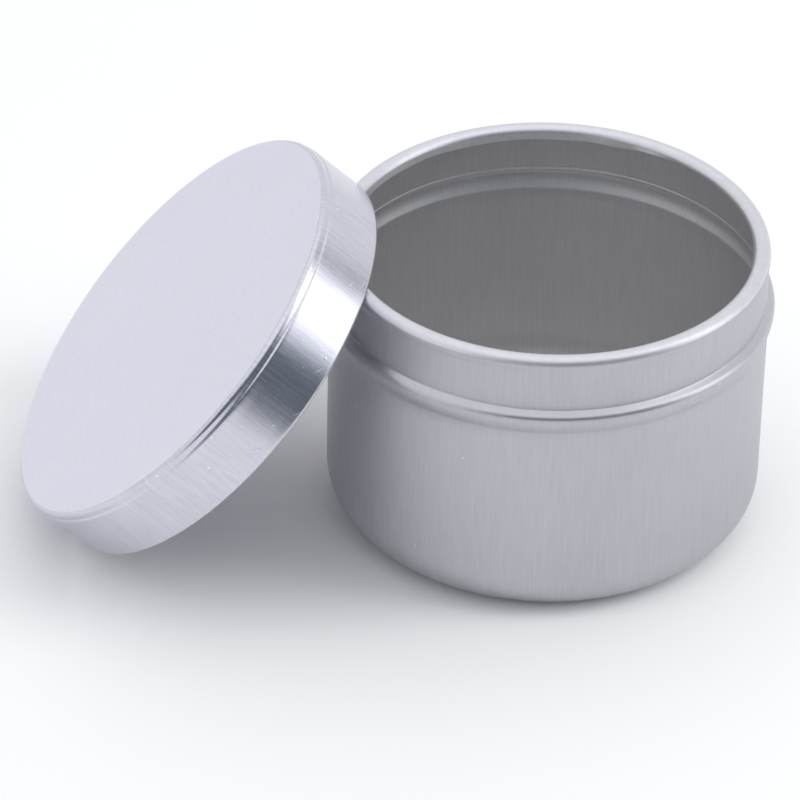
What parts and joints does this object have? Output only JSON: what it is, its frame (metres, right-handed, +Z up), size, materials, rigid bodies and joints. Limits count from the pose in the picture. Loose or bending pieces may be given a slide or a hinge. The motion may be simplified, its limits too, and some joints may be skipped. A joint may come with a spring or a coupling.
{
  "type": "candle tin",
  "caption": "Round seamless metal candle tin with a rolled rim, beaded shoulder and rounded bottom corner, and its plain slip lid leaning against it.",
  "frame": {"origin": "centre of the tin's base, on the surface that the tin stands on", "axes": "+Z up along the tin's axis, towards its mouth; the lid leans towards -X; the object is symmetric about the XZ plane"},
  "size_m": [0.1287, 0.077, 0.0641],
  "materials": {
    "tin_metal": "satin tinplate with fine vertical drawing lines",
    "lid_metal": "satin tinplate, smooth face and finely brushed skirt"
  },
  "bodies": {
    "tin": {"tin_body": "tin_metal"},
    "slip_lid": {"lid": "lid_metal"}
  },
  "joints": [
    {"name": "lid_swing", "type": "hinge", "parent": "tin", "child": "slip_lid", "pos_m": [0.0004, 0, -0.02344], "axis": [0, 1, 0], "range_deg": [0, 47.1]}
  ]
}
